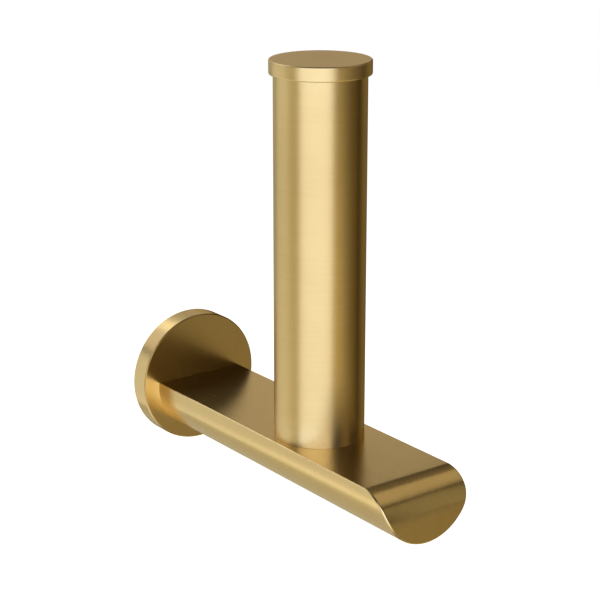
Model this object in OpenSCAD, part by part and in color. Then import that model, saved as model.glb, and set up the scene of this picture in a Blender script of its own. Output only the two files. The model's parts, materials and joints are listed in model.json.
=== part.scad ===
// Upright toilet roll holder in brushed brass.
// A half-round arm stands out from a round wall rosette and carries a capped post, over which the roll slides.
// Frame: origin at the centre of the rosette's back face, on the wall. +X right, +Y into the wall, +Z up.

/* [Wall rosette] */
// Diameter of the rosette
rosette_d = 50; // [41:0.1:70]
// Thickness of the rosette's rim
rosette_wall = 2.5; // [2:0.1:4]
// Rounding of the rosette's front and back edges
rosette_edge = 0.5; // [0.2:0.1:1]

/* [Wall bracket] */
// Thickness of the bracket
bracket_thickness = 4; // [3:0.1:6]
// Diameter of the bore in the middle of the bracket
bracket_bore_d = 12; // [6:0.5:13]
// Depth of the groove that the set screw bears in
groove_depth = 1.1; // [0.8:0.1:1.4]
// Width of the floor of that groove
groove_floor = 0.8; // [0.6:0.1:1]
// Diameter of the two wall screw holes
wall_screw_hole_d = 4.6; // [3.5:0.1:5.5]
// Diameter of the countersinks of the wall screw holes
wall_screw_head_d = 8.4; // [7:0.1:10]
// Metal left between a countersink and the groove
wall_screw_land = 1.8; // [1:0.1:3]

/* [Set screw] */
// Diameter of the set screw's thread
set_screw_d = 3; // [2.5:0.5:4]
// Pitch of the set screw's thread
set_screw_pitch = 0.5; // [0.35:0.05:0.7]
// Distance that the set screw sits inside the rim
set_screw_sink = 0.4; // [0.2:0.1:1]
// Width across flats of the set screw's hexagon socket
set_screw_key = 1.5; // [1.2:0.1:2]

/* [Arm] */
// Length of the arm, from the rosette's front face
arm_length = 137; // [100:1:180]
// Height of the flat top above the axis of the round
flat_height = 2; // [0:0.1:4]
// Drop of the round's axis below the rosette's centre
arm_drop = 1; // [0:0.1:2]
// Width of the flat on each side of the post
flat_shoulder = 2.4; // [1:0.1:5]
// Radius of the bend from the flat top to the end face
arm_bend = 12; // [6:0.5:16]
// Rounding of the two long edges of the flat
arm_edge = 0.4; // [0.1:0.1:1]

/* [Arm fixing] */
// Diameter of the fixing screw's thread; its countersunk head is twice as wide
arm_screw_d = 6; // [4:0.1:8]
// Pitch of the fixing screw's thread
arm_screw_pitch = 1; // [0.7:0.05:1.25]
// Length of the fixing screw
arm_screw_length = 20; // [14:1:30]
// Width across flats of the fixing screw's hexagon socket
arm_screw_key = 4; // [2.5:0.5:5]
// Metal left in the rosette's front plate under the countersink
countersink_land = 0.2; // [0.1:0.1:1]
// Diameter of the two locating pins
pin_d = 3; // [2:0.5:4]
// Length of a locating pin
pin_length = 10; // [8:1:16]
// Metal left between a locating pin and the countersink
pin_land = 3.3; // [1:0.1:4]

/* [Post] */
// Diameter of the post
post_d = 32; // [24:0.1:40]
// Wall of the post's tube
post_wall = 1.5; // [1:0.1:2.5]
// Height of the post, from the flat top to the cap
post_height = 128.5; // [100:0.5:160]
// Distance from the rosette's front face to the post's axis
post_offset = 77; // [50:1:90]
// Chamfer at the outer edges of the post's tube
post_chamfer = 0.2; // [0.1:0.05:0.4]

/* [Post foot] */
// Height of the threaded insert in the post's foot
insert_height = 12; // [8:1:20]
// Diameter of the stud's thread
stud_d = 8; // [6:1:10]
// Pitch of the stud's thread
stud_pitch = 1.25; // [1:0.25:1.5]
// Depth that the stud reaches into the arm
stud_in_arm = 12; // [8:1:14]
// Width across flats of the stud's hexagon socket
stud_key = 4; // [3:0.5:5]

/* [Cap] */
// Thickness of the cap's disc
cap_thickness = 5; // [3:0.5:8]
// Distance that the cap stands out past the post
cap_overhang = 1.5; // [1:0.1:3]
// Rounding of the cap's edges
cap_edge = 0.5; // [0.2:0.1:1]
// Length of the spigot that enters the post
spigot_length = 9; // [7:0.5:14]
// Wall of the hollow spigot
spigot_wall = 3.5; // [3:0.1:5]
// Section diameter of the rubber ring that grips the post's bore
ring_section = 1.8; // [1.4:0.1:2]

/* [Fits] */
// Radial gap between a thread's crest and its tapped hole
thread_gap = 0.05; // [0.02:0.01:0.1]
// Radial gap of a screw's plain hole
screw_hole_gap = 0.2; // [0.1:0.05:0.5]
// Radial gap of a locating pin in its hole
pin_gap = 0.02; // [0.01:0.01:0.05]
// Radial gap between the bracket and the rosette's rim
bracket_gap = 0.4; // [0.2:0.1:0.8]
// Gap between the set screw's tip and the groove
tip_gap = 0.05; // [0:0.01:0.1]
// Radial gap between the insert and the post's bore
insert_gap = 0.05; // [0.02:0.01:0.1]
// Height of the insert above the arm's flat
insert_lift = 0.3; // [0.1:0.1:1]
// Radial gap between the cap's spigot and the post's bore
spigot_gap = 0.3; // [0.1:0.05:0.5]
// Gap left round the rubber ring
ring_gap = 0.05; // [0.02:0.01:0.1]
// Space between the bracket and the rosette's front plate
bracket_clearance = 0.8; // [0.5:0.1:2]
// Depth of a tapped hole past the screw's end
hole_runout = 1.5; // [1:0.5:4]

/* [Hidden] */
$fn = 96;
socket_sides = 6;
// Overlap of a cutter past the face that it cuts
past = 1;
// Depth of a thread as a share of its pitch
thread_depth_ratio = 0.54;
// Depth of a hexagon socket as a share of its width
socket_depth_ratio = 0.6;

brass = [0.76, 0.62, 0.38];
zinc = [0.66, 0.67, 0.69];
steel = [0.56, 0.57, 0.59];
rubber = [0.09, 0.09, 0.09];

// Rosette and bracket
rosette_r = rosette_d / 2;
cavity_r = rosette_r - rosette_wall;
cavity_depth = bracket_thickness + bracket_clearance;
arm_screw_r = arm_screw_d / 2;
arm_head_r = arm_screw_d;
arm_head_height = arm_head_r - arm_screw_r;
rosette_depth = cavity_depth + arm_head_height + countersink_land;
bracket_r = cavity_r - bracket_gap;
groove_r = bracket_r - groove_depth;
groove_y = bracket_thickness / 2;
wall_screw_x = groove_r - wall_screw_land - wall_screw_head_d / 2;
countersink_depth = (wall_screw_head_d - wall_screw_hole_d) / 2;
set_screw_y = groove_y;
set_screw_tip = groove_r + tip_gap;
set_screw_length = rosette_r - set_screw_sink - set_screw_tip;
set_screw_tip_r = groove_floor / 2 - tip_gap;
set_screw_root_r = set_screw_d / 2 - set_screw_pitch * thread_depth_ratio;
set_screw_cone = set_screw_root_r - set_screw_tip_r;

// Arm
flat_width = post_d + 2 * flat_shoulder;
arm_r = sqrt(pow(flat_width / 2, 2) + pow(flat_height, 2));
arm_z = -arm_drop;
flat_z = arm_z + flat_height;
arm_bottom_z = arm_z - arm_r;
fixing_z = (flat_z + arm_bottom_z) / 2;
arm_end = rosette_depth + arm_length;
pin_r = pin_d / 2;
pin_x = arm_head_r + screw_hole_gap + pin_land + pin_r;

// Post
post_y = rosette_depth + post_offset;
post_r = post_d / 2;
bore_r = post_r - post_wall;
post_top = flat_z + post_height;
insert_r = bore_r - insert_gap;
stud_r = stud_d / 2;
stud_length = stud_in_arm + insert_lift + insert_height;
cap_r = post_r + cap_overhang;
spigot_r = bore_r - spigot_gap;
ring_r = ring_section / 2;
ring_mid_r = bore_r - ring_gap - ring_r;
ring_drop = spigot_length / 2;
ring_groove = ring_section + 2 * ring_gap;

// Turns a shape that stands along +Z so that it runs from the wall out along -Y.
module outwards() {
    rotate([90, 0, 0]) children();
}

// The profile of a disc from z = 0 to z = height, with rounded outer edges.
module disc_profile(r, height, edge) {
    square([r - edge, height]);
    translate([0, edge]) square([r, height - 2 * edge]);
    for (z = [edge, height - edge]) translate([r - edge, z]) circle(r = edge);
}

// A threaded rod from z = 0 to z = length, drawn as rings, with a plain relief at each end.
module threaded_rod(d, pitch, length) {
    depth = pitch * thread_depth_ratio;
    turns = floor(length / pitch) - 1;
    start = (length - turns * pitch) / 2;
    crests = [for (i = [0 : turns - 1]) each [
        [d / 2 - depth, start + i * pitch],
        [d / 2, start + (i + 0.5) * pitch]]];
    rotate_extrude() polygon(concat(
        [[0, 0], [d / 2 - depth, 0]],
        crests,
        [[d / 2 - depth, length - start], [d / 2 - depth, length], [0, length]]));
}

// A hexagon socket that opens at z = 0 and goes down.
module hex_socket(key) {
    depth = key * socket_depth_ratio;
    translate([0, 0, -depth])
        cylinder(r = key / 2 / cos(180 / socket_sides), h = depth + past, $fn = socket_sides);
}

// The cup that covers the bracket and carries the arm.
module wall_rosette() {
    color(brass) difference() {
        outwards() rotate_extrude() disc_profile(rosette_r, rosette_depth, rosette_edge);
        outwards() translate([0, 0, -past]) cylinder(r = cavity_r, h = cavity_depth + past);
        translate([0, 0, fixing_z]) outwards() {
            cylinder(r = arm_screw_r + screw_hole_gap, h = rosette_depth + past);
            translate([0, 0, cavity_depth]) cylinder(
                r1 = arm_head_r + screw_hole_gap, r2 = arm_screw_r + screw_hole_gap, h = arm_head_height);
            for (side = [-1, 1]) translate([side * pin_x, 0, 0])
                cylinder(r = pin_r + pin_gap, h = rosette_depth + past);
        }
        translate([0, -set_screw_y, -rosette_r - past])
            cylinder(r = set_screw_d / 2 + thread_gap, h = rosette_wall + 2 * past);
    }
}

// The ring that is screwed to the wall, with a groove round its edge for the set screw.
module wall_bracket() {
    groove_low = groove_y - groove_floor / 2;
    groove_high = groove_y + groove_floor / 2;
    color(zinc) difference() {
        outwards() rotate_extrude() polygon([
            [bracket_bore_d / 2, 0],
            [bracket_r, 0],
            [bracket_r, groove_low - groove_depth],
            [groove_r, groove_low],
            [groove_r, groove_high],
            [bracket_r, groove_high + groove_depth],
            [bracket_r, bracket_thickness],
            [bracket_bore_d / 2, bracket_thickness]]);
        for (side = [-1, 1]) translate([side * wall_screw_x, 0, 0]) outwards() {
            translate([0, 0, -past]) cylinder(r = wall_screw_hole_d / 2, h = bracket_thickness + 2 * past);
            translate([0, 0, bracket_thickness - countersink_depth])
                cylinder(r1 = wall_screw_hole_d / 2, r2 = wall_screw_head_d / 2, h = countersink_depth);
        }
    }
}

// The small socket screw under the rosette, whose cone point bears in the bracket's groove.
module rosette_set_screw() {
    color(steel) translate([0, -set_screw_y, -set_screw_tip]) rotate([180, 0, 0]) difference() {
        union() {
            cylinder(r1 = set_screw_tip_r, r2 = set_screw_root_r, h = set_screw_cone);
            translate([0, 0, set_screw_cone])
                threaded_rod(set_screw_d, set_screw_pitch, set_screw_length - set_screw_cone);
        }
        translate([0, 0, set_screw_length]) hex_socket(set_screw_key);
    }
}

// The section of the arm: a round with a flat top, whose two corners are rounded.
module arm_section() {
    corner_z = flat_height - arm_edge;
    corner_x = sqrt(pow(arm_r - arm_edge, 2) - pow(corner_z, 2));
    lean = atan2(corner_z, corner_x);
    reach = 4 * arm_edge;
    difference() {
        circle(r = arm_r);
        translate([-arm_r, flat_height]) square([2 * arm_r, arm_r]);
        for (side = [0, 1]) mirror([side, 0]) translate([corner_x, corner_z])
            polygon([[0, 0], reach * [cos(lean), sin(lean)], [reach, reach], [0, reach]]);
    }
    for (side = [-1, 1]) translate([side * corner_x, corner_z]) circle(r = arm_edge);
}

// The side outline of the arm, with the bend between its flat top and its end face.
module arm_side() {
    difference() {
        translate([rosette_depth, arm_bottom_z - past]) square([arm_length, flat_z - arm_bottom_z + past]);
        difference() {
            translate([arm_end - arm_bend, flat_z - arm_bend]) square([arm_bend + past, arm_bend + past]);
            translate([arm_end - arm_bend, flat_z - arm_bend]) circle(r = arm_bend);
        }
    }
}

// The half-round bar that stands out from the rosette.
module arm() {
    color(brass) difference() {
        intersection() {
            translate([0, 0, arm_z]) outwards() linear_extrude(arm_end + past) arm_section();
            rotate([0, 0, -90]) rotate([90, 0, 0])
                translate([0, 0, -arm_r - past]) linear_extrude(2 * (arm_r + past)) arm_side();
        }
        translate([0, 0, fixing_z]) outwards() {
            cylinder(r = arm_screw_r + thread_gap, h = cavity_depth + arm_screw_length + hole_runout);
            for (side = [-1, 1]) translate([side * pin_x, 0, 0])
                cylinder(r = pin_r + pin_gap, h = cavity_depth + pin_length + hole_runout);
        }
        translate([0, -post_y, flat_z - stud_in_arm - hole_runout])
            cylinder(r = stud_r + thread_gap, h = stud_in_arm + hole_runout + past);
    }
}

// The countersunk screw that holds the arm from inside the rosette.
module arm_screw() {
    shank = arm_screw_length - arm_head_height;
    color(steel) translate([0, -cavity_depth, fixing_z]) outwards() difference() {
        union() {
            cylinder(r1 = arm_head_r, r2 = arm_screw_r, h = arm_head_height);
            translate([0, 0, arm_head_height]) threaded_rod(arm_screw_d, arm_screw_pitch, shank);
        }
        mirror([0, 0, 1]) hex_socket(arm_screw_key);
    }
}

// The two pins that keep the arm's flat level.
module arm_locating_pins() {
    color(steel) for (side = [-1, 1]) translate([side * pin_x, -cavity_depth, fixing_z])
        outwards() cylinder(r = pin_r, h = pin_length);
}

// The upright tube.
module post_tube() {
    color(brass) translate([0, -post_y, flat_z]) rotate_extrude() polygon([
        [bore_r, 0],
        [post_r - post_chamfer, 0],
        [post_r, post_chamfer],
        [post_r, post_height - post_chamfer],
        [post_r - post_chamfer, post_height],
        [bore_r, post_height]]);
}

// The threaded plug brazed into the foot of the tube.
module post_foot_insert() {
    color(brass) translate([0, -post_y, flat_z + insert_lift]) difference() {
        cylinder(r = insert_r, h = insert_height);
        translate([0, 0, -past]) cylinder(r = stud_r + thread_gap, h = insert_height + 2 * past);
    }
}

// The stud that draws the post down on to the arm.
module post_stud() {
    color(steel) translate([0, -post_y, flat_z - stud_in_arm]) difference() {
        threaded_rod(stud_d, stud_pitch, stud_length);
        translate([0, 0, stud_length]) hex_socket(stud_key);
    }
}

// The disc that closes the post, with a hollow grooved spigot below it.
module post_cap() {
    color(brass) translate([0, -post_y, post_top]) difference() {
        union() {
            rotate_extrude() disc_profile(cap_r, cap_thickness, cap_edge);
            translate([0, 0, -spigot_length]) cylinder(r = spigot_r, h = spigot_length + past);
        }
        translate([0, 0, -spigot_length - past])
            cylinder(r = spigot_r - spigot_wall, h = spigot_length + past);
        translate([0, 0, -ring_drop - ring_groove / 2]) difference() {
            cylinder(r = bore_r, h = ring_groove);
            translate([0, 0, -past])
                cylinder(r = ring_mid_r - ring_r - ring_gap, h = ring_groove + 2 * past);
        }
    }
}

// The rubber ring in the spigot's groove, which grips the bore of the tube.
module cap_ring() {
    color(rubber) translate([0, -post_y, post_top - ring_drop])
        rotate_extrude() translate([ring_mid_r, 0]) circle(r = ring_r);
}

wall_rosette();
wall_bracket();
rosette_set_screw();
arm();
arm_screw();
arm_locating_pins();
post_tube();
post_foot_insert();
post_stud();
post_cap();
cap_ring();
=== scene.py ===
"""Upright toilet roll holder in brushed brass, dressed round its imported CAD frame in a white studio."""
import json
import logging
import math
from collections.abc import Iterable
from dataclasses import dataclass, field
from enum import Enum

import bmesh
import bpy
from mathutils import Matrix, Vector

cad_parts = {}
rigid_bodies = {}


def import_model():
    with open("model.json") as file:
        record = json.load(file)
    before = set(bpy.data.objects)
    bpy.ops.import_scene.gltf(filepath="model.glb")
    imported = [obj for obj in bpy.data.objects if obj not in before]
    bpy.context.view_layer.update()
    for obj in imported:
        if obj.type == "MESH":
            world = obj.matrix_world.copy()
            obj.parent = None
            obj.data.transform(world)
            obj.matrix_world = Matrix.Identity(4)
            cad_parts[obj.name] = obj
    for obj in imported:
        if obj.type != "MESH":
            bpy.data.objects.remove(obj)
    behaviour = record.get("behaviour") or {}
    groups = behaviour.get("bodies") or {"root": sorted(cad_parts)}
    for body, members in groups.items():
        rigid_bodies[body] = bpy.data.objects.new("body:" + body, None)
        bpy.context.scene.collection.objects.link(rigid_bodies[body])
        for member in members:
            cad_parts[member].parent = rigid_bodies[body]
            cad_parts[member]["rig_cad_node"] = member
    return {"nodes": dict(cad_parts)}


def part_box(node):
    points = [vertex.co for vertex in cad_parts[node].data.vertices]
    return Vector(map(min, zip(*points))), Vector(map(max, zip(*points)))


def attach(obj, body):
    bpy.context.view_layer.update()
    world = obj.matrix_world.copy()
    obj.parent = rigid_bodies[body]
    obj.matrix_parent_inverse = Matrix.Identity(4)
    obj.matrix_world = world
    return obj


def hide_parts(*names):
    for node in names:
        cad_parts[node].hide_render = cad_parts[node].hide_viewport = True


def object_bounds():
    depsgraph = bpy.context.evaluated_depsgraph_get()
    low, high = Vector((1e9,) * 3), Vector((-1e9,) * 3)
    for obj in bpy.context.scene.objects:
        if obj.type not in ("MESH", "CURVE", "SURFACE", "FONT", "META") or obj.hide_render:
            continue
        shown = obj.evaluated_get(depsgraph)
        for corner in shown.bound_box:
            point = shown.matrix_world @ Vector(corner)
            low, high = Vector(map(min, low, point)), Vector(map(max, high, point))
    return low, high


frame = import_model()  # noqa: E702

LOG = logging.getLogger("roll_holder")
CAD_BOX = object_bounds()
MM = 0.001
BODY = "root"
EDGE_MASK = "edge_mask"
FLOAT = "NodeSocketFloat"
VECTOR = "NodeSocketVector"

Outline = list[tuple[float, float]]
Colour = tuple[float, float, float]
Span = tuple[float, float]

# The band that holds most of a noise texture's values
NOISE_BAND: Span = (0.3, 0.7)


class Axis(Enum):
    """The two directions that the holder's turned pieces stand in."""

    UP = "up"
    OUT_FROM_WALL = "out from the wall"


class Lay(Enum):
    """The way that the lines of a metal finish run."""

    ROUND_THE_POST = "round the post"
    ALONG_THE_ARM = "along the arm"
    NONE = "none"


# --------------------------------------------------------------------------------------------------
# Helpers for shader trees
# --------------------------------------------------------------------------------------------------
class NodeDesk:
    """Adds and joins nodes in one shader tree."""

    def __init__(self, tree: bpy.types.NodeTree) -> None:
        """Keeps the tree and empties it."""
        self.tree = tree
        tree.nodes.clear()

    def add(
        self, kind: str, inputs: dict[str | int, object] | None = None, **settings: object
    ) -> bpy.types.Node:
        """Adds a node.

        Args:
            kind: The node's type name in Blender.
            inputs: Values or output sockets, by the name or number of the input.
            settings: Attributes of the node itself.

        Returns:
            The new node.
        """
        node = self.tree.nodes.new(kind)
        for name, value in settings.items():
            setattr(node, name, value)
        for name, value in (inputs or {}).items():
            if isinstance(value, bpy.types.NodeSocket):
                self.tree.links.new(value, node.inputs[name])
            else:
                node.inputs[name].default_value = value
        return node

    def maths(self, operation: str, *values: object) -> bpy.types.NodeSocket:
        """Adds a Math node and returns its output."""
        return self.add("ShaderNodeMath", dict(enumerate(values)), operation=operation).outputs[0]

    def weighted(self, *shares: tuple[bpy.types.NodeSocket, float]) -> bpy.types.NodeSocket:
        """Adds two values up, each times its share, and returns the output."""
        return self.maths("ADD", *(self.maths("MULTIPLY", value, share) for value, share in shares))

    def scaled(self, vector: bpy.types.NodeSocket, by: object) -> bpy.types.NodeSocket:
        """Multiplies a vector by another one, part by part, and returns the output."""
        node = self.add("ShaderNodeVectorMath", {0: vector, 1: by}, operation="MULTIPLY")
        return node.outputs[0]

    def spread(self, value: object, given: Span, wanted: Span = (0.0, 1.0)) -> bpy.types.NodeSocket:
        """Maps a value from its given range to a wanted one, clamped, and returns the output."""
        ends = {"From Min": given[0], "From Max": given[1], "To Min": wanted[0], "To Max": wanted[1]}
        return self.add("ShaderNodeMapRange", {"Value": value, **ends}, clamp=True).outputs["Result"]

    def noise(
        self, vector: object, scale: object, detail: float, roughness: float, distortion: float = 0.0
    ) -> bpy.types.NodeSocket:
        """Adds a noise texture.

        Args:
            vector: The place at which it is read.
            scale: Its frequency, as a number or a socket.
            detail: Its number of octaves.
            roughness: How much the finer octaves count.
            distortion: How far its shapes are bent.

        Returns:
            The noise's value.
        """
        return self.add("ShaderNodeTexNoise", {
            "Vector": vector, "Scale": scale, "Detail": detail, "Roughness": roughness,
            "Distortion": distortion}).outputs["Fac"]

    def blend(self, factor: bpy.types.NodeSocket, start: object, end: object) -> bpy.types.NodeSocket:
        """Blends two colours by a factor.

        Args:
            factor: The socket that runs from 0 to 1.
            start: The colour at 0, as a socket or three numbers.
            end: The colour at 1, as a socket or three numbers.

        Returns:
            The blended colour.
        """
        ends = [c if isinstance(c, bpy.types.NodeSocket) else (*c, 1.0) for c in (start, end)]
        node = self.add("ShaderNodeMix", {0: factor, 6: ends[0], 7: ends[1]}, data_type="RGBA")
        return node.outputs[2]

    def put_out(self, shader: bpy.types.Node, kind: str = "ShaderNodeOutputMaterial") -> None:
        """Joins a shader to the tree's surface output."""
        self.tree.links.new(shader.outputs[0], self.add(kind).inputs["Surface"])


def new_material(name: str) -> tuple[bpy.types.Material, NodeDesk]:
    """Makes an empty node material and the desk for its tree.

    Args:
        name: The material's name.

    Returns:
        The material and its desk.
    """
    made = bpy.data.materials.new(name)
    made.use_nodes = True
    return made, NodeDesk(made.node_tree)


class ShaderGroup:
    """A shader effect that several finishes share, built once as a node group."""

    title: str = ""
    takes: dict[str, tuple[str, object]] = {}
    gives: dict[str, str] = {}

    @classmethod
    def tree(cls) -> bpy.types.NodeTree:
        """Builds the group the first time, and finds it after that.

        Returns:
            The group's node tree.
        """
        made = bpy.data.node_groups.get(cls.title)
        if made is not None:
            return made
        made = bpy.data.node_groups.new(cls.title, "ShaderNodeTree")
        for name, (kind, value) in cls.takes.items():
            made.interface.new_socket(name, in_out="INPUT", socket_type=kind).default_value = value
        for name, kind in cls.gives.items():
            made.interface.new_socket(name, in_out="OUTPUT", socket_type=kind)
        desk = NodeDesk(made)
        given = desk.add("NodeGroupInput")
        out = desk.add("NodeGroupOutput")
        for name, socket in cls.wire(desk, given.outputs).items():
            made.links.new(socket, out.inputs[name])
        return made

    @classmethod
    def wire(cls, desk: NodeDesk, given: bpy.types.bpy_prop_collection) -> dict[str, bpy.types.NodeSocket]:
        """Builds the nodes inside the group.

        Args:
            desk: The desk of the group's tree.
            given: The group's inputs, by name.

        Returns:
            The socket for each of the group's outputs.
        """
        raise NotImplementedError

    @classmethod
    def place(cls, desk: NodeDesk, values: dict[str, object]) -> bpy.types.Node:
        """Puts the group into a material's tree with its own values.

        Args:
            desk: The desk of the material's tree.
            values: Values or sockets for the group's inputs.

        Returns:
            The group node.
        """
        return desk.add("ShaderNodeGroup", values, node_tree=cls.tree())


class BrushedGrain(ShaderGroup):
    """Fine lines left by an abrasive belt, stretched one way, with a few deeper scratches among them."""

    title = "Brushed grain"
    takes = {"Stretch": (VECTOR, (60.0, 60.0, 2400.0)), "Scratches": (FLOAT, 0.5)}
    gives = {"Height": FLOAT, "Lines": FLOAT}

    FINE_SHARE = 0.6
    BROAD_SHARE = 0.4
    BROAD_SCALE = 0.23
    SCRATCH_SCALE = 0.55
    SCRATCH_BAND: Span = (0.66, 0.78)

    @classmethod
    def wire(cls, desk: NodeDesk, given: bpy.types.bpy_prop_collection) -> dict[str, bpy.types.NodeSocket]:
        """Lays fine lines over broader ones and adds sparse scratches.

        Args:
            desk: The desk of the group's tree.
            given: The group's inputs, by name.

        Returns:
            The socket for each of the group's outputs.
        """
        place = desk.add("ShaderNodeTexCoord").outputs["Object"]
        along = desk.scaled(place, given["Stretch"])
        fine = desk.noise(along, scale=1.0, detail=3.0, roughness=0.65)
        broad = desk.noise(along, scale=cls.BROAD_SCALE, detail=2.0, roughness=0.5)
        deep = desk.noise(along, scale=cls.SCRATCH_SCALE, detail=1.0, roughness=0.4)
        scratch = desk.maths("MULTIPLY", desk.spread(deep, cls.SCRATCH_BAND), given["Scratches"])
        both = desk.weighted((fine, cls.FINE_SHARE), (broad, cls.BROAD_SHARE))
        return {"Height": desk.maths("SUBTRACT", both, scratch), "Lines": desk.spread(both, NOISE_BAND)}


class SatinMottle(ShaderGroup):
    """Fine blasted speckle and the broad, soft patches that plating leaves."""

    title = "Satin mottle"
    takes = {"Speckle size": (FLOAT, 0.0004), "Patch size": (FLOAT, 0.03)}
    gives = {"Height": FLOAT, "Speckle": FLOAT, "Patches": FLOAT}

    @classmethod
    def wire(cls, desk: NodeDesk, given: bpy.types.bpy_prop_collection) -> dict[str, bpy.types.NodeSocket]:
        """Makes a small noise for the speckle and a large one for the patches.

        Args:
            desk: The desk of the group's tree.
            given: The group's inputs, by name.

        Returns:
            The socket for each of the group's outputs.
        """
        place = desk.add("ShaderNodeTexCoord").outputs["Object"]
        often, seldom = (desk.maths("DIVIDE", 1.0, given[name]) for name in ("Speckle size", "Patch size"))
        small = desk.noise(place, often, detail=2.0, roughness=0.6)
        large = desk.noise(place, seldom, detail=3.0, roughness=0.55, distortion=0.4)
        return {
            "Height": small,
            "Speckle": desk.spread(small, NOISE_BAND),
            "Patches": desk.spread(large, NOISE_BAND),
        }


class EdgeWearAndHighlight(ShaderGroup):
    """Rounded edges polished by hands and cloths and lightened as a painted highlight, broken up so that no
    edge is even.
    """

    title = "Edge polish and highlight"
    takes = {"Amount": (FLOAT, 0.6), "Break-up size": (FLOAT, 0.003)}
    gives = {"WearAndHighlight": FLOAT}

    BREAK_BAND: Span = (0.3, 0.6)
    LEAST_AND_MOST: Span = (0.45, 1.0)

    @classmethod
    def wire(cls, desk: NodeDesk, given: bpy.types.bpy_prop_collection) -> dict[str, bpy.types.NodeSocket]:
        """Breaks the mesh's own edge mask up with noise.

        Args:
            desk: The desk of the group's tree.
            given: The group's inputs, by name.

        Returns:
            The socket for each of the group's outputs.
        """
        place = desk.add("ShaderNodeTexCoord").outputs["Object"]
        mask = desk.add("ShaderNodeAttribute", attribute_name=EDGE_MASK).outputs["Fac"]
        often = desk.maths("DIVIDE", 1.0, given["Break-up size"])
        noise = desk.noise(place, often, detail=2.0, roughness=0.6)
        broken = desk.spread(noise, cls.BREAK_BAND, cls.LEAST_AND_MOST)
        # The broken-up mask marks where the edges get lighter: partly polish, partly a painted highlight.
        return {"WearAndHighlight": desk.maths("MULTIPLY", desk.maths("MULTIPLY", mask, broken), given["Amount"])}


# --------------------------------------------------------------------------------------------------
# Finishes
# --------------------------------------------------------------------------------------------------
@dataclass(frozen=True)
class MetalFinish:
    """A bare or plated metal with its grain, mottle and polished edges, whose lighter tone is partly a
    painted highlight.

    The tones are linear colours. Roughness runs from smooth to rough with the grain and the speckle.
    Depths and sizes are in metres, and only a lay round the post uses the anisotropy.
    """

    name: str
    slot: str
    tone: Colour
    deep_tone: Colour
    polished_and_highlight_tone: Colour
    smooth: float
    rough: float
    lay: Lay = Lay.NONE
    anisotropy: float = 0.0
    grain_depth: float = 0.000004
    speckle_depth: float = 0.000002
    speckle_size: float = 0.0004
    patch_size: float = 0.03
    wear_and_highlight: float = 0.6

    GRAIN_FREQUENCY = 2600.0
    LENGTHWAYS_FREQUENCY = 45.0
    SCRATCHES = 0.4
    GRAIN_IN_TONE = 0.45
    PATCHES_IN_TONE = 0.55
    GRAIN_IN_HAZE = 0.5
    SPECKLE_IN_HAZE = 0.5
    WEAR_AND_HIGHLIGHT_SMOOTHS_BY = 0.06
    QUARTER_TURN = 0.25

    def stretch(self) -> tuple[float, float, float]:
        """Chooses the grain's frequency along each axis, with its lines along the lay.

        Returns:
            The three frequencies, per metre.
        """
        fine, long_way = self.GRAIN_FREQUENCY, self.LENGTHWAYS_FREQUENCY
        return {
            Lay.ROUND_THE_POST: (long_way, long_way, fine),
            Lay.ALONG_THE_ARM: (fine, long_way, fine),
            Lay.NONE: (fine, fine, fine),
        }[self.lay]

    def material(self) -> bpy.types.Material:
        """Builds the finish the first time, and finds it after that.

        Returns:
            The Blender material.
        """
        if self.name in bpy.data.materials:
            return bpy.data.materials[self.name]
        made, desk = new_material(self.name)
        grain = BrushedGrain.place(desk, {"Stretch": self.stretch(), "Scratches": self.SCRATCHES})
        mottle = SatinMottle.place(desk, {"Speckle size": self.speckle_size, "Patch size": self.patch_size})
        wear_and_highlight = EdgeWearAndHighlight.place(desk, {"Amount": self.wear_and_highlight}).outputs["WearAndHighlight"]
        lines = grain.outputs["Lines"]
        patches, speckle = mottle.outputs["Patches"], mottle.outputs["Speckle"]
        toning = desk.weighted((lines, self.GRAIN_IN_TONE), (patches, self.PATCHES_IN_TONE))
        # Painted highlight: along the rounded edges the colour blends towards the lighter polished tone,
        # partly real polish and partly a painted highlight.
        colour = desk.blend(wear_and_highlight, desk.blend(toning, self.deep_tone, self.tone), self.polished_and_highlight_tone)
        haze = desk.weighted((lines, self.GRAIN_IN_HAZE), (speckle, self.SPECKLE_IN_HAZE))
        roughness = desk.maths("SUBTRACT", desk.spread(haze, (0.0, 1.0), (self.smooth, self.rough)),
                               desk.maths("MULTIPLY", wear_and_highlight, self.WEAR_AND_HIGHLIGHT_SMOOTHS_BY))
        speckled = desk.add("ShaderNodeBump", {
            "Height": mottle.outputs["Height"], "Strength": 1.0, "Distance": self.speckle_depth})
        brushed = desk.add("ShaderNodeBump", {
            "Height": grain.outputs["Height"], "Strength": 1.0, "Distance": self.grain_depth,
            "Normal": speckled.outputs["Normal"]})
        shader = desk.add("ShaderNodeBsdfPrincipled", {
            "Base Color": colour, "Metallic": 1.0, "Roughness": roughness,
            "Normal": brushed.outputs["Normal"]})
        if self.lay is Lay.ROUND_THE_POST:
            shader.inputs["Anisotropic"].default_value = self.anisotropy
            shader.inputs["Anisotropic Rotation"].default_value = self.QUARTER_TURN
            tangent = desk.add("ShaderNodeTangent", direction_type="RADIAL", axis="Z")
            desk.tree.links.new(tangent.outputs["Tangent"], shader.inputs["Tangent"])
        desk.put_out(shader)
        return made


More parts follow.
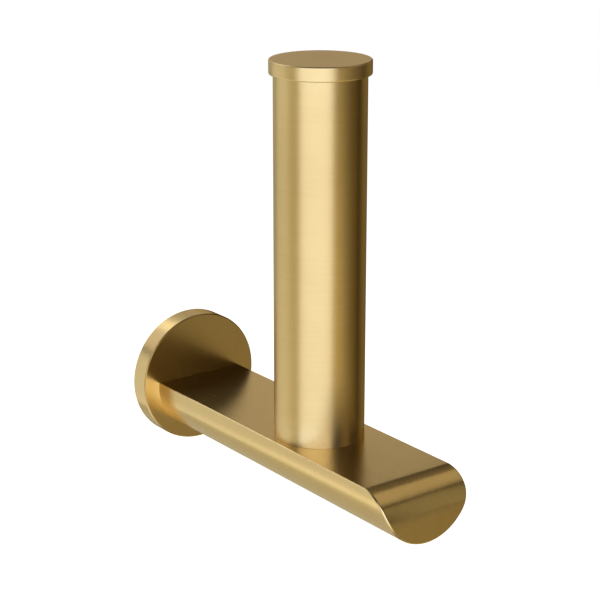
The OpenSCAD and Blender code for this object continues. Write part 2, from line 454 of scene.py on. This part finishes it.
@dataclass(frozen=True)
class RubberFinish:
    """Moulded black rubber with a dull bloom."""

    name: str
    slot: str
    tone: Colour
    bloom_tone: Colour
    smooth: float
    rough: float
    speckle_depth: float = 0.00002
    speckle_size: float = 0.0003
    patch_size: float = 0.006

    def material(self) -> bpy.types.Material:
        """Builds the finish the first time, and finds it after that.

        Returns:
            The Blender material.
        """
        if self.name in bpy.data.materials:
            return bpy.data.materials[self.name]
        made, desk = new_material(self.name)
        mottle = SatinMottle.place(desk, {"Speckle size": self.speckle_size, "Patch size": self.patch_size})
        colour = desk.blend(mottle.outputs["Patches"], self.tone, self.bloom_tone)
        roughness = desk.spread(mottle.outputs["Speckle"], (0.0, 1.0), (self.smooth, self.rough))
        bump = desk.add("ShaderNodeBump", {
            "Height": mottle.outputs["Height"], "Distance": self.speckle_depth})
        shader = desk.add("ShaderNodeBsdfPrincipled", {
            "Base Color": colour, "Metallic": 0.0, "Roughness": roughness,
            "Normal": bump.outputs["Normal"]})
        desk.put_out(shader)
        return made


Finish = MetalFinish | RubberFinish

BRASS: Colour = (0.78, 0.585, 0.275)
BRASS_DEEP: Colour = (0.74, 0.55, 0.25)
# Lighter tone for the rounded edges: partly polish, partly a painted highlight.
BRASS_POLISHED_AND_HIGHLIGHT: Colour = (0.90, 0.73, 0.42)

BRUSHED_BRASS = MetalFinish(
    "brushed_brass_lacquer", "brushed_brass", (0.81, 0.61, 0.29), (0.71, 0.525, 0.235), BRASS_POLISHED_AND_HIGHLIGHT,
    smooth=0.36, rough=0.43, lay=Lay.ROUND_THE_POST, anisotropy=0.50, grain_depth=0.000006)
SATIN_BRASS = MetalFinish(
    "satin_brass_lacquer", "satin_brass", BRASS, BRASS_DEEP, BRASS_POLISHED_AND_HIGHLIGHT,
    smooth=0.23, rough=0.29, lay=Lay.ALONG_THE_ARM, grain_depth=0.0000008)
CAP_TOP_BRASS = MetalFinish(
    "satin_brass_cap_top", "brushed_brass", (0.76, 0.55, 0.24), (0.72, 0.515, 0.215), BRASS_POLISHED_AND_HIGHLIGHT,
    smooth=0.27, rough=0.33, grain_depth=0.0000006)
TURNED_BRASS = MetalFinish(
    "turned_brass_bare", "plain_brass", (0.74, 0.56, 0.27), (0.62, 0.45, 0.20), BRASS_POLISHED_AND_HIGHLIGHT,
    smooth=0.28, rough=0.42, lay=Lay.ROUND_THE_POST, anisotropy=0.4, wear_and_highlight=0.0)
CAST_ZINC = MetalFinish(
    "cast_zinc", "zinc", (0.56, 0.57, 0.58), (0.42, 0.43, 0.45), (0.72, 0.73, 0.74),
    smooth=0.36, rough=0.52, speckle_depth=0.00001, patch_size=0.008)
STAINLESS = MetalFinish(
    "stainless_steel", "steel", (0.60, 0.60, 0.59), (0.48, 0.48, 0.47), (0.75, 0.75, 0.74),
    smooth=0.24, rough=0.36, grain_depth=0.000002, patch_size=0.004, wear_and_highlight=0.0)
BLACK_RUBBER = RubberFinish(
    "black_rubber", "rubber", (0.012, 0.012, 0.012), (0.03, 0.03, 0.029), smooth=0.5, rough=0.7)


# --------------------------------------------------------------------------------------------------
# Mesh workshop
# --------------------------------------------------------------------------------------------------
class Workshop:
    """Turns outlines into clean solids, cuts holes in them and prepares their surfaces."""

    ROUND_STEPS = 256
    HOLE_STEPS = 64
    EDGE_STEPS = 6
    ON_AXIS = 1e-9
    SHARP_ANGLE = math.radians(32.0)
    BEND_WITHOUT_POLISH_OR_HIGHLIGHT = math.radians(5.0)
    BEND_WITH_FULL_POLISH_AND_HIGHLIGHT = math.radians(12.0)
    FACE_WEIGHT = 100

    @staticmethod
    def arc(centre: tuple[float, float], radius: float, start: float, end: float, steps: int) -> Outline:
        """Lists the points of an arc.

        Args:
            centre: The arc's centre.
            radius: Its radius.
            start: The first angle, in degrees.
            end: The last angle, in degrees.
            steps: The number of segments.

        Returns:
            The points, both ends included.
        """
        angles = [math.radians(start + (end - start) * i / steps) for i in range(steps + 1)]
        return [(centre[0] + radius * math.cos(a), centre[1] + radius * math.sin(a)) for a in angles]

    @staticmethod
    def to_object(name: str, work: bmesh.types.BMesh) -> bpy.types.Object:
        """Turns a bmesh into an object in the scene and frees the bmesh.

        Args:
            name: The new object's name.
            work: The bmesh, which is used up.

        Returns:
            The object.
        """
        mesh = bpy.data.meshes.new(name)
        bmesh.ops.recalc_face_normals(work, faces=work.faces)
        work.to_mesh(mesh)
        work.free()
        made = bpy.data.objects.new(name, mesh)
        bpy.context.scene.collection.objects.link(made)
        return made

    @classmethod
    def lathe(
        cls, name: str, outline: Outline, foot: Vector, axis: Axis, steps: int = ROUND_STEPS
    ) -> bpy.types.Object:
        """Turns a closed outline of (radius, height) points about an axis.

        Args:
            name: The new object's name.
            outline: The closed outline; a point at radius zero lies on the axis.
            foot: The point of the axis at height zero.
            axis: The direction in which height runs.
            steps: The number of segments round the axis.

        Returns:
            The solid.
        """
        work = bmesh.new()
        turn = Matrix.Identity(3) if axis is Axis.UP else Matrix.Rotation(math.pi / 2, 3, "X")
        rings: list[list[bmesh.types.BMVert]] = []
        for radius, height in outline:
            count = steps if radius > cls.ON_AXIS else 1
            ring = []
            for i in range(count):
                angle = 2 * math.pi * i / steps
                point = Vector((radius * math.cos(angle), radius * math.sin(angle), height))
                ring.append(work.verts.new(foot + turn @ point))
            rings.append(ring)
        for ring, following in zip(rings, rings[1:] + rings[:1]):
            if len(ring) == 1 and len(following) == 1:
                continue
            for i in range(steps):
                j = (i + 1) % steps
                corners = [ring[i % len(ring)], ring[j % len(ring)],
                           following[j % len(following)], following[i % len(following)]]
                work.faces.new(list(dict.fromkeys(corners)))
        return cls.to_object(name, work)

    @classmethod
    def drill(cls, radius: float, start: float, end: float, foot: Vector, axis: Axis) -> bpy.types.Object:
        """Makes a plain round cutter between two heights along an axis."""
        outline: Outline = [(0.0, start), (radius, start), (radius, end), (0.0, end)]
        return cls.lathe("drill", outline, foot, axis, cls.HOLE_STEPS)

    @classmethod
    def cut(cls, solid: bpy.types.Object, cutters: Iterable[bpy.types.Object]) -> None:
        """Takes the cutters away from the solid and removes them.

        Args:
            solid: The object that is cut.
            cutters: Closed solids.
        """
        for cutter in cutters:
            step = solid.modifiers.new("cut", "BOOLEAN")
            step.operation, step.solver, step.object = "DIFFERENCE", "EXACT", cutter
            cls.apply(solid)
            bpy.data.objects.remove(cutter)

    @staticmethod
    def apply(solid: bpy.types.Object) -> None:
        """Makes the result of the solid's modifiers its own mesh.

        Args:
            solid: The object, which has no modifiers afterwards.
        """
        bpy.context.view_layer.update()
        graph = bpy.context.evaluated_depsgraph_get()
        final = bpy.data.meshes.new_from_object(solid.evaluated_get(graph), depsgraph=graph)
        solid.modifiers.clear()
        solid.data = final

    @classmethod
    def prepare(cls, solid: bpy.types.Object) -> None:
        """Marks the rounded edges in the mask for edge polish and painted highlight, and gives the surface
        weighted normals.

        Args:
            solid: The finished solid.
        """
        mesh = solid.data
        work = bmesh.new()
        work.from_mesh(mesh)
        bends = [max((e.calc_face_angle(0.0) for e in v.link_edges), default=0.0) for v in work.verts]
        work.free()
        span = cls.BEND_WITH_FULL_POLISH_AND_HIGHLIGHT - cls.BEND_WITHOUT_POLISH_OR_HIGHLIGHT
        # This mask lightens the rounded edges: partly polish, partly a painted highlight.
        mask = mesh.attributes.new(EDGE_MASK, "FLOAT", "POINT")
        mask.data.foreach_set("value", [min(1.0, max(0.0, (b - cls.BEND_WITHOUT_POLISH_OR_HIGHLIGHT) / span)) for b in bends])
        mesh.shade_smooth()
        mesh.set_sharp_from_angle(angle=cls.SHARP_ANGLE)
        step = solid.modifiers.new("weighted normals", "WEIGHTED_NORMAL")
        step.mode, step.weight, step.keep_sharp = "FACE_AREA", cls.FACE_WEIGHT, True
        cls.apply(solid)


def dress(piece: bpy.types.Object, *finishes: Finish) -> None:
    """Gives a piece its finishes, or a CAD node its one finish in every material slot.

    Args:
        piece: The object to dress.
        finishes: One finish for each slot of the mesh; a CAD node takes the first one in every slot.
    """
    if "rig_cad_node" in piece:
        for own in piece.material_slots:
            own.material = finishes[0].material()
    else:
        piece.data.materials.clear()
        for finish in finishes:
            piece.data.materials.append(finish.material())


def put_in_place(piece: bpy.types.Object, node: str) -> None:
    """Lets a detailed piece stand for a CAD node and ride on the holder's one body."""
    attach(piece, BODY)
    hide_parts(node)


# --------------------------------------------------------------------------------------------------
# Sub-assemblies
# --------------------------------------------------------------------------------------------------
@dataclass
class WallFixing:
    """The rosette that covers the wall bracket, with the bracket and the set screw between them."""

    rim: float = 2.5 * MM
    edge: float = 0.5 * MM
    screw_gap: float = 0.2 * MM
    pin_gap: float = 0.02 * MM
    set_screw_gap: float = 0.05 * MM
    overshoot: float = 1 * MM
    bore_end: float = 10 * MM
    pieces: list[bpy.types.Object] = field(default_factory=list)

    def rosette_outline(self, radius: float, depth: float, plate: float) -> Outline:
        """Draws the cup's section, from the rim's inner back corner round to the middle of its floor.

        Args:
            radius: The rosette's outer radius.
            depth: Its depth.
            plate: The depth at which the front plate starts.

        Returns:
            The closed outline of (radius, distance from the wall).
        """
        cavity, e, steps = radius - self.rim, self.edge, Workshop.EDGE_STEPS
        outline: Outline = [(0.0, plate), (cavity, plate), (cavity, 0.0)]
        outline += Workshop.arc((radius - e, e), e, -90.0, 0.0, steps)
        outline += Workshop.arc((radius - e, depth - e), e, 0.0, 90.0, steps)
        return outline + [(0.0, depth)]

    def build_rosette(self) -> bpy.types.Object:
        """Turns the cup and bores it for the arm's screw, the pins and the set screw.

        Returns:
            The rosette.
        """
        low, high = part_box("wall_rosette")
        screw_low, screw_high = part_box("arm_screw")
        pins_low, pins_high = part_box("arm_locating_pins")
        radius, depth, plate = high.x, -low.y, -screw_high.y
        outline = self.rosette_outline(radius, depth, plate)
        rosette = Workshop.lathe("brass_rosette", outline, Vector(), Axis.OUT_FROM_WALL)
        height = (screw_low.z + screw_high.z) / 2
        head, pin = screw_high.x, (pins_high.z - pins_low.z) / 2
        shank = head / 2
        past, end = self.overshoot, self.bore_end
        wide, narrow = head + self.screw_gap, shank + self.screw_gap
        bore: Outline = [
            (0.0, -past), (wide, -past), (wide, 0.0), (narrow, head - shank), (narrow, end), (0.0, end)]
        screw_foot = Vector((0.0, -plate, height))
        cutters = [Workshop.lathe("bore", bore, screw_foot, Axis.OUT_FROM_WALL, Workshop.HOLE_STEPS)]
        for side in (-1, 1):
            foot = Vector((side * (pins_high.x - pin), -plate, height))
            cutters.append(Workshop.drill(pin + self.pin_gap, -past, end, foot, Axis.OUT_FROM_WALL))
        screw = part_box("rosette_set_screw")
        foot = Vector((0.0, (screw[0].y + screw[1].y) / 2, -radius))
        thread = screw[1].x + self.set_screw_gap
        cutters.append(Workshop.drill(thread, -past, self.rim + past, foot, Axis.UP))
        Workshop.cut(rosette, cutters)
        Workshop.prepare(rosette)
        return rosette

    def build(self) -> None:
        """Builds the rosette and dresses it with the CAD bracket and set screw behind and below it."""
        rosette = self.build_rosette()
        dress(rosette, SATIN_BRASS)
        put_in_place(rosette, "wall_rosette")
        bracket, set_screw = frame["nodes"]["wall_bracket"], frame["nodes"]["rosette_set_screw"]
        dress(bracket, CAST_ZINC)
        dress(set_screw, STAINLESS)
        self.pieces += [rosette, bracket, set_screw]


@dataclass
class Arm:
    """The half-round bar with its flat top, bent end and softly broken edges."""

    bend: float = 12 * MM
    edge: float = 0.6 * MM
    axis_height: float = -1 * MM
    seat: float = 0.02 * MM
    screw_gap: float = 0.05 * MM
    pin_gap: float = 0.02 * MM
    runout: float = 1.5 * MM
    overshoot: float = 1 * MM
    bend_steps: int = 24
    face_steps: int = 40
    length_steps: int = 24
    pieces: list[bpy.types.Object] = field(default_factory=list)

    def side_line(self, wall: float, end: float, top: float, bottom: float) -> list[tuple[Vector, Vector]]:
        """Follows the arm's side outline along the flat, round the bend and down the end face.

        Args:
            wall: The y of the arm's back face.
            end: The y of its end face.
            top: The height of the flat.
            bottom: The lowest height of the round.

        Returns:
            Points and outward normals in the plane x = 0.
        """
        line: list[tuple[Vector, Vector]] = []
        start = end + self.bend
        for i in range(self.length_steps):
            y = wall + (start - wall) * i / self.length_steps
            line.append((Vector((0.0, y, top)), Vector((0.0, 0.0, 1.0))))
        for i in range(self.bend_steps + 1):
            angle = math.pi / 2 * i / self.bend_steps
            normal = Vector((0.0, -math.sin(angle), math.cos(angle)))
            line.append((Vector((0.0, start, top - self.bend)) + self.bend * normal, normal))
        height = top - self.bend
        radius = self.axis_height - bottom
        first = math.asin((height - self.axis_height) / radius)
        for i in range(1, self.face_steps + 1):
            angle = first + (-math.pi / 2 - first) * i / self.face_steps
            z = self.axis_height + radius * math.sin(angle)
            line.append((Vector((0.0, end, z)), Vector((0.0, -1.0, 0.0))))
        return line

    def edge_arc(self, point: Vector, top_normal: Vector, side_normal: Vector) -> list[Vector]:
        """Rounds the edge at one point between the top strip and the round side.

        Args:
            point: The point of the sharp edge.
            top_normal: The outward normal of the flat, bend or end face there.
            side_normal: The outward normal of the round there.

        Returns:
            The points of the rounding, from the top strip to the side.
        """
        share = 1.0 + top_normal.dot(side_normal)
        centre = point - (self.edge / share) * (top_normal + side_normal)
        between = top_normal.angle(side_normal)
        steps = Workshop.EDGE_STEPS
        arc = []
        for i in range(steps + 1):
            turned = between * i / steps
            top_share, side_share = math.sin(between - turned), math.sin(turned)
            normal = (top_share * top_normal + side_share * side_normal) / math.sin(between)
            arc.append(centre + self.edge * normal)
        return arc

    def edge_arcs(self, half: list[tuple[Vector, Vector]], radius: float, side: int) -> list[list[Vector]]:
        """Rounds the edge all along one side of the arm, but for its lowest point.

        Args:
            half: The side outline, with its normals.
            radius: The radius of the round.
            side: -1 for the left side and 1 for the right.

        Returns:
            The points of the rounding at each point of the outline.
        """
        arcs = []
        for point, normal in half[:-1]:
            rise = point.z - self.axis_height
            x = side * math.sqrt(max(radius ** 2 - rise ** 2, 0.0))
            outward = Vector((x, 0.0, rise)).normalized()
            arcs.append(self.edge_arc(Vector((x, point.y, point.z)), normal, outward))
        return arcs

    def side_columns(
        self, work: bmesh.types.BMesh, loop: list[list[bmesh.types.BMVert]], wall: float
    ) -> list[list[bmesh.types.BMVert]]:
        """Lays rows of points along the round side, from its front edge back to the wall.

        Args:
            work: The bmesh in which the points are made.
            loop: The roundings, from the back of the left edge round to the back of the right one.
            wall: The y of the arm's back face.

        Returns:
            The rows. The first and last are the long edges themselves.
        """
        first, last = self.length_steps, len(loop) - 1 - self.length_steps
        columns = [[loop[k][-1] for k in range(first, -1, -1)]]
        for j in range(first + 1, last):
            tip = loop[j][-1]
            column = [tip]
            for k in range(1, self.length_steps + 1):
                y = tip.co.y + (wall - tip.co.y) * k / self.length_steps
                column.append(work.verts.new((tip.co.x, y, tip.co.z)))
            columns.append(column)
        columns.append([loop[k][-1] for k in range(last, len(loop))])
        return columns

    def build_body(self) -> bpy.types.Object:
        """Lays the strips of the flat, the bend, the end face, the rounded edges and the round side.

        Returns:
            The arm, before it is bored.
        """
        low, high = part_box("arm")
        wall, end, top, bottom = high.y + self.seat, low.y, high.z, low.z
        half = self.side_line(wall, end, top, bottom)
        left, right = (self.edge_arcs(half, self.axis_height - bottom, side) for side in (-1, 1))
        keel = self.edge_arc(Vector((0.0, end, bottom)), Vector((0.0, -1.0, 0.0)), Vector((0.0, 0.0, -1.0)))
        work = bmesh.new()
        loop = [[work.verts.new(point) for point in arc] for arc in (*left, keel, *reversed(right))]
        for near, far in zip(loop, loop[1:]):
            for i in range(len(near) - 1):
                work.faces.new((near[i], near[i + 1], far[i + 1], far[i]))
        for i in range((len(loop) - 1) // 2):
            corners = [loop[i][0], loop[i + 1][0], loop[-2 - i][0], loop[-1 - i][0]]
            work.faces.new(list(dict.fromkeys(corners)))
        columns = self.side_columns(work, loop, wall)
        for near, far in zip(columns, columns[1:]):
            for k in range(self.length_steps):
                work.faces.new((near[k], near[k + 1], far[k + 1], far[k]))
        back = [*loop[0], *(column[-1] for column in columns[1:-1]), *reversed(loop[-1])]
        work.faces.new(back)
        return Workshop.to_object("brass_arm", work)

    def bore(self, arm: bpy.types.Object) -> None:
        """Bores the arm for its fixing screw, its two pins and the post's stud.

        Args:
            arm: The solid to bore.
        """
        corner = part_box("arm")[1]
        wall, flat, past = corner.y, corner.z, self.overshoot
        screw_low, screw_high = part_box("arm_screw")
        pins_low, pins_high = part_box("arm_locating_pins")
        stud_low, stud_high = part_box("post_stud")
        height = (screw_low.z + screw_high.z) / 2
        pin = (pins_high.z - pins_low.z) / 2
        thread = screw_high.x / 2 + self.screw_gap
        screw_end, pin_end = (wall - low.y + self.runout for low in (screw_low, pins_low))
        foot = Vector((0.0, wall, height))
        cutters = [Workshop.drill(thread, -past, screw_end, foot, Axis.OUT_FROM_WALL)]
        for side in (-1, 1):
            foot = Vector((side * (pins_high.x - pin), wall, height))
            cutters.append(Workshop.drill(pin + self.pin_gap, -past, pin_end, foot, Axis.OUT_FROM_WALL))
        foot = Vector((0.0, (stud_low.y + stud_high.y) / 2, flat))
        stud_end = stud_low.z - flat - self.runout
        cutters.append(Workshop.drill(stud_high.x + self.screw_gap, stud_end, past, foot, Axis.UP))
        Workshop.cut(arm, cutters)

    def build(self) -> None:
        """Builds the arm and dresses it with its CAD screw and pins."""
        arm = self.build_body()
        self.bore(arm)
        Workshop.prepare(arm)
        dress(arm, SATIN_BRASS)
        put_in_place(arm, "arm")
        screw, pins = frame["nodes"]["arm_screw"], frame["nodes"]["arm_locating_pins"]
        dress(screw, STAINLESS)
        dress(pins, STAINLESS)
        self.pieces += [arm, screw, pins]


@dataclass
class Post:
    """The upright tube with its foot insert and stud."""

    wall: float = 1.5 * MM
    top_edge: float = 0.2 * MM
    foot_edge: float = 0.05 * MM
    height_steps: int = 12
    pieces: list[bpy.types.Object] = field(default_factory=list)

    def build_tube(self) -> bpy.types.Object:
        """Turns the tube with a rounded top edge and a finely broken foot.

        Returns:
            The tube.
        """
        low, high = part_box("post_tube")
        radius, height, top, e = high.x, high.z - low.z, self.top_edge, self.foot_edge
        bore = radius - self.wall
        foot = Vector((0.0, (low.y + high.y) / 2, low.z))
        outline: Outline = [(bore, 0.0), (radius - e, 0.0), (radius, e)]
        straight = height - top - e
        outline += [(radius, e + straight * i / self.height_steps) for i in range(1, self.height_steps)]
        outline += Workshop.arc((radius - top, height - top), top, 0.0, 90.0, Workshop.EDGE_STEPS)
        outline += [(bore, height)]
        tube = Workshop.lathe("brass_post", outline, foot, Axis.UP)
        Workshop.prepare(tube)
        return tube

    def build(self) -> None:
        """Builds the tube and dresses it with its CAD insert and stud."""
        tube = self.build_tube()
        dress(tube, BRUSHED_BRASS)
        put_in_place(tube, "post_tube")
        insert, stud = frame["nodes"]["post_foot_insert"], frame["nodes"]["post_stud"]
        dress(insert, TURNED_BRASS)
        dress(stud, STAINLESS)
        self.pieces += [tube, insert, stud]


@dataclass
class Cap:
    """The disc that closes the post, with its grooved spigot and rubber ring."""

    thickness: float = 5 * MM
    edge: float = 0.5 * MM
    spigot_wall: float = 3.5 * MM
    ring_gap: float = 0.05 * MM
    spigot_gap: float = 0.3 * MM
    top_tilt: float = math.radians(50.0)
    pieces: list[bpy.types.Object] = field(default_factory=list)

    def build_cap(self) -> bpy.types.Object:
        """Turns the disc with rounded edges and its hollow spigot with the ring's groove.

        Returns:
            The cap.
        """
        low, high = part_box("post_cap")
        ring_low, ring_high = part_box("cap_ring")
        radius, e, steps = high.x, self.edge, Workshop.EDGE_STEPS
        bottom = high.z - self.thickness
        foot = Vector((0.0, (low.y + high.y) / 2, bottom))
        bore = ring_high.x + self.ring_gap
        spigot = bore - self.spigot_gap
        section = ring_high.z - ring_low.z
        middle = (ring_low.z + ring_high.z) / 2 - bottom
        groove_half = section / 2 + self.ring_gap
        groove = ring_high.x - section - self.ring_gap
        length = bottom - low.z
        inner = spigot - self.spigot_wall
        outline: Outline = [(0.0, 0.0), (inner, 0.0), (inner, -length), (spigot, -length),
                            (spigot, middle - groove_half), (groove, middle - groove_half),
                            (groove, middle + groove_half), (spigot, middle + groove_half), (spigot, 0.0)]
        outline += Workshop.arc((radius - e, e), e, -90.0, 0.0, steps)
        outline += Workshop.arc((radius - e, self.thickness - e), e, 0.0, 90.0, steps)
        outline += [(0.0, self.thickness)]
        cap = Workshop.lathe("brass_cap", outline, foot, Axis.UP)
        Workshop.prepare(cap)
        return cap

    def build(self) -> None:
        """Builds the cap, with its top in satin and the rest brushed, and dresses the rubber ring."""
        cap = self.build_cap()
        dress(cap, BRUSHED_BRASS, CAP_TOP_BRASS)
        for face in cap.data.polygons:
            face.material_index = int(face.normal.z > math.cos(self.top_tilt))
        put_in_place(cap, "post_cap")
        ring = frame["nodes"]["cap_ring"]
        dress(ring, BLACK_RUBBER)
        self.pieces += [cap, ring]


# --------------------------------------------------------------------------------------------------
# Studio
# --------------------------------------------------------------------------------------------------
@dataclass(frozen=True)
class SoftBox:
    """A soft box, placed by its bearing to the right of the camera and its elevation, both in degrees.

    Its width and height are the angles that it covers as the holder sees it, its distance is in metres,
    and its strength is its radiance. It lights everything, or only the pieces that it names.
    """

    name: str
    bearing: float
    elevation: float
    wide: float
    tall: float
    strength: float
    tint: Colour = (1.0, 1.0, 1.0)
    distance: float = 1.3
    only: tuple[str, ...] = ()

    def hang(self, centre: Vector, camera_turn: float) -> bpy.types.Object:
        """Hangs the light so that it faces the holder.

        Args:
            centre: The point that it faces.
            camera_turn: The camera's turn about the vertical, in radians.

        Returns:
            The light.
        """
        lamp = bpy.data.lights.new(self.name, "AREA")
        lamp.shape = "RECTANGLE"
        lamp.size = 2 * self.distance * math.tan(math.radians(self.wide) / 2)
        lamp.size_y = 2 * self.distance * math.tan(math.radians(self.tall) / 2)
        lamp.energy = self.strength * lamp.size * lamp.size_y * math.pi
        lamp.color = self.tint
        made = bpy.data.objects.new(self.name, lamp)
        bpy.context.scene.collection.objects.link(made)
        angle, rise = camera_turn + math.radians(self.bearing), math.radians(self.elevation)
        away = Vector((math.sin(angle) * math.cos(rise), -math.cos(angle) * math.cos(rise), math.sin(rise)))
        made.location = centre + away * self.distance
        made.rotation_mode = "QUATERNION"
        made.rotation_quaternion = away.to_track_quat("Z", "Y")
        made.visible_camera = False
        if self.only:
            lit = bpy.data.collections.new(f"{self.name}_lights")
            for piece in self.only:
                lit.objects.link(bpy.data.objects[piece])
            made.light_linking.receiver_collection = lit
        return made


ARM = ("brass_arm",)
CAP = ("brass_cap",)
UPRIGHT = ("brass_post", "brass_cap")
KEY_LIT = ("brass_arm", "brass_post", "brass_cap")
WALL_PARTS = ("brass_rosette", "wall_bracket", "rosette_set_screw", "arm_screw", "arm_locating_pins")


@dataclass
class Studio:
    """The white studio: floor, surround, soft boxes and camera.

    Lengths and places are in metres, and the lens and its sensor are in millimetres.
    """

    camera_place: tuple[float, float, float] = (-0.35442, -0.54991, 0.23343)
    camera_turn: float = math.radians(-36.648)
    camera_dip: float = math.radians(17.401)
    lens: float = 105.84
    sensor: float = 36.0
    clip: Span = (0.01, 100.0)
    floor_height: float = -0.35
    floor_size: float = 40.0
    floor_squares: int = 8
    floor_tones: tuple[Colour, Colour] = ((0.90, 0.90, 0.90), (0.93, 0.93, 0.93))
    surround_glow: float = 1.05
    ambient: Colour = (0.012, 0.008, 0.003)
    centre: Vector = field(default_factory=lambda: (CAD_BOX[0] + CAD_BOX[1]) / 2)
    boxes: tuple[SoftBox, ...] = (
        SoftBox("key", -9.0, -2.0, 78.0, 74.0, 1.74, (0.82, 0.87, 1.00), only=KEY_LIT),
        SoftBox("key_on_wall_parts", -9.0, -2.0, 78.0, 74.0, 0.62, (1.00, 0.88, 0.66), only=WALL_PARTS),
        SoftBox("key_edge", -51.5, -2.0, 10.0, 74.0, 0.74, (1.00, 0.96, 0.84), only=UPRIGHT),
        SoftBox("front_low", -30.0, -60.0, 90.0, 34.0, 0.80, (1.00, 0.96, 0.85)),
        SoftBox("right_near", 44.0, -27.0, 28.0, 38.0, 0.74, (1.00, 0.80, 0.33)),
        SoftBox("right_edge", 62.0, -25.0, 18.0, 38.0, 0.12, (1.00, 0.86, 0.60), only=UPRIGHT),
        SoftBox("right_mid", 68.0, -25.0, 20.0, 38.0, 0.24, (1.00, 0.84, 0.52)),
        SoftBox("right_far", 88.0, -24.0, 24.0, 40.0, 0.17, (1.00, 0.69, 0.20)),
        SoftBox("end_strip", 63.6, -4.3, 18.8, 34.0, 0.29, (1.00, 0.86, 0.52), distance=0.18, only=ARM),
        SoftBox("right_high", 108.0, 56.0, 42.0, 31.0, 0.50, (1.00, 0.84, 0.55)),
        SoftBox("back_high", 160.0, 45.0, 34.0, 20.0, 0.14, (1.00, 0.80, 0.55)),
        SoftBox("left_gap", -69.0, -12.0, 18.0, 50.0, 0.55, (1.00, 0.88, 0.48)),
        SoftBox("left_side", -105.0, -12.0, 50.0, 51.0, 0.76, (1.00, 1.00, 0.92)),
        SoftBox("left_high", -115.0, 38.0, 60.0, 41.0, 0.78, (1.00, 0.95, 0.88)),
        SoftBox("left_low", -140.0, -52.0, 70.0, 34.0, 0.55, (1.00, 0.95, 0.74)),
        SoftBox("back_left", -148.0, -8.0, 32.0, 42.0, 0.40, (0.97, 1.00, 0.76)),
        SoftBox("back_left_high", -152.0, 44.0, 28.0, 28.0, 0.75, (1.00, 0.97, 0.80)),
        SoftBox("arm_edge", -152.0, 44.0, 28.0, 28.0, 1.25, (1.00, 0.97, 0.75), only=ARM),
        SoftBox("back", -172.0, 19.5, 34.0, 15.0, 0.52, (1.00, 0.88, 0.68)),
        SoftBox("back_warm", -172.0, 4.0, 34.0, 16.0, 0.40, (1.00, 0.76, 0.34)),
        SoftBox("back_low", 180.0, -22.0, 40.0, 30.0, 0.06, (1.00, 0.85, 0.50)),
        SoftBox("back_right", 138.0, 0.0, 40.0, 60.0, 0.20, (1.00, 0.75, 0.30)),
        SoftBox("under", 120.0, -62.0, 60.0, 40.0, 0.50, (1.00, 0.96, 0.40)),
        SoftBox("cap_glow", 82.0, 16.0, 60.0, 22.0, 0.30, (1.00, 0.90, 0.70), only=CAP),
        SoftBox("top", 0.0, 84.0, 50.0, 50.0, 0.06, (1.00, 0.90, 0.70)),
    )

    def lay_floor(self) -> bpy.types.Object:
        """Lays the pale floor, which the metal doesn't mirror.

        Returns:
            The floor.
        """
        work = bmesh.new()
        squares, half = self.floor_squares, self.floor_size / 2
        bmesh.ops.create_grid(work, x_segments=squares, y_segments=squares, size=half)
        floor = Workshop.to_object("studio_floor", work)
        floor.location = (0.0, 0.0, self.floor_height)
        paint, desk = new_material("white_studio_floor")
        mottle = SatinMottle.place(desk, {"Speckle size": 0.02, "Patch size": 1.5})
        tone = desk.blend(mottle.outputs["Patches"], *self.floor_tones)
        desk.put_out(desk.add("ShaderNodeBsdfPrincipled", {
            "Base Color": tone, "Roughness": 0.9, "Emission Color": (1.0, 1.0, 1.0, 1.0),
            "Emission Strength": 1.0}))
        floor.data.materials.append(paint)
        floor.visible_glossy = False
        floor.visible_diffuse = False
        return floor

    def paint_surround(self) -> None:
        """Makes the studio's surround: white to the eye, and a dim warm fill in the metal."""
        world = bpy.data.worlds.new("white_studio")
        bpy.context.scene.world = world
        world.use_nodes = True
        desk = NodeDesk(world.node_tree)
        seen = desk.add("ShaderNodeBackground", {
            "Color": (1.0, 1.0, 1.0, 1.0), "Strength": self.surround_glow})
        fill = desk.add("ShaderNodeBackground", {"Color": (*self.ambient, 1.0), "Strength": 1.0})
        path = desk.add("ShaderNodeLightPath")
        both = desk.add("ShaderNodeMixShader", {
            0: path.outputs["Is Camera Ray"], 1: fill.outputs[0], 2: seen.outputs[0]})
        desk.put_out(both, "ShaderNodeOutputWorld")

    def set_camera(self) -> bpy.types.Object:
        """Sets the camera up at the viewing angle.

        Returns:
            The camera.
        """
        lens = bpy.data.cameras.new("studio_camera")
        lens.lens, lens.sensor_width = self.lens, self.sensor
        lens.clip_start, lens.clip_end = self.clip
        camera = bpy.data.objects.new("studio_camera", lens)
        bpy.context.scene.collection.objects.link(camera)
        camera.location = self.camera_place
        camera.rotation_euler = (math.pi / 2 - self.camera_dip, 0.0, self.camera_turn)
        bpy.context.scene.camera = camera
        return camera

    def build(self) -> None:
        """Builds the whole studio and sets plain colour rendering."""
        self.lay_floor()
        self.paint_surround()
        for box in self.boxes:
            box.hang(self.centre, self.camera_turn)
        self.set_camera()
        bpy.context.scene.view_settings.view_transform = "Standard"


def main() -> None:
    """Builds the sub-assemblies and the studio, and reports each piece."""
    logging.basicConfig(level=logging.INFO, format="%(name)s: %(message)s")
    for assembly in (WallFixing(), Arm(), Post(), Cap()):
        assembly.build()
        for piece in assembly.pieces:
            LOG.info("%s: %s with %d faces", type(assembly).__name__, piece.name, len(piece.data.polygons))
    Studio().build()


if __name__ == "__main__":
    main()
